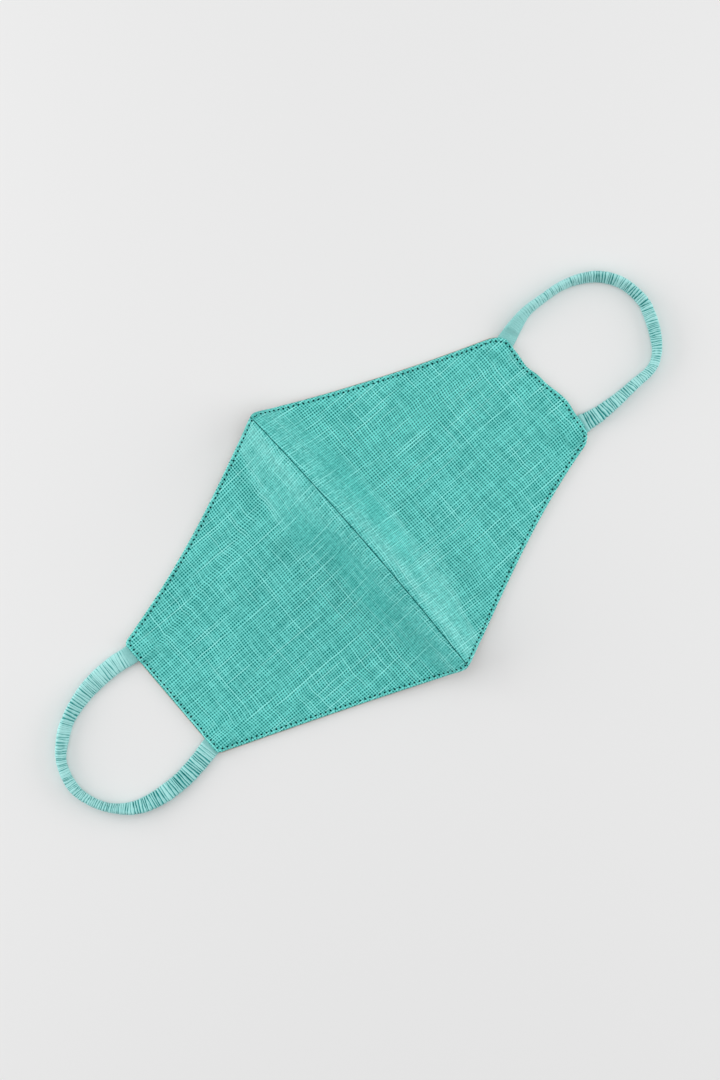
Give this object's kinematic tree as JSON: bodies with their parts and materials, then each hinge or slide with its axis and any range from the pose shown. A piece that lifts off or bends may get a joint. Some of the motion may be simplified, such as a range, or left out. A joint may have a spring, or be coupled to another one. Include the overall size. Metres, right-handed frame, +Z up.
{
  "type": "cloth face mask",
  "caption": "Contoured cloth face mask: linen panels over a lining, joined by a raised centre seam, with a gathered strap loop at each ear edge, lying outside up.",
  "frame": {"origin": "on the surface that the mask lies on, under the middle of its bounding box", "axes": "+X from ear to ear, towards the ear edge with the wavy hem; +Y towards the nose tip; +Z up, out of the mask's outside"},
  "size_m": [0.3569, 0.1552, 0.0262],
  "materials": {
    "linen": "plain-woven linen, matt with a soft sheen",
    "lining": "plain cotton, matt",
    "strap_cloth": "gathered cotton, matt with a soft sheen"
  },
  "bodies": {
    "root": {"panel_left": "linen", "panel_right": "linen", "lining_left": "lining", "lining_right": "lining", "ear_loop_left": "strap_cloth", "ear_loop_right": "strap_cloth"}
  },
  "joints": []
}
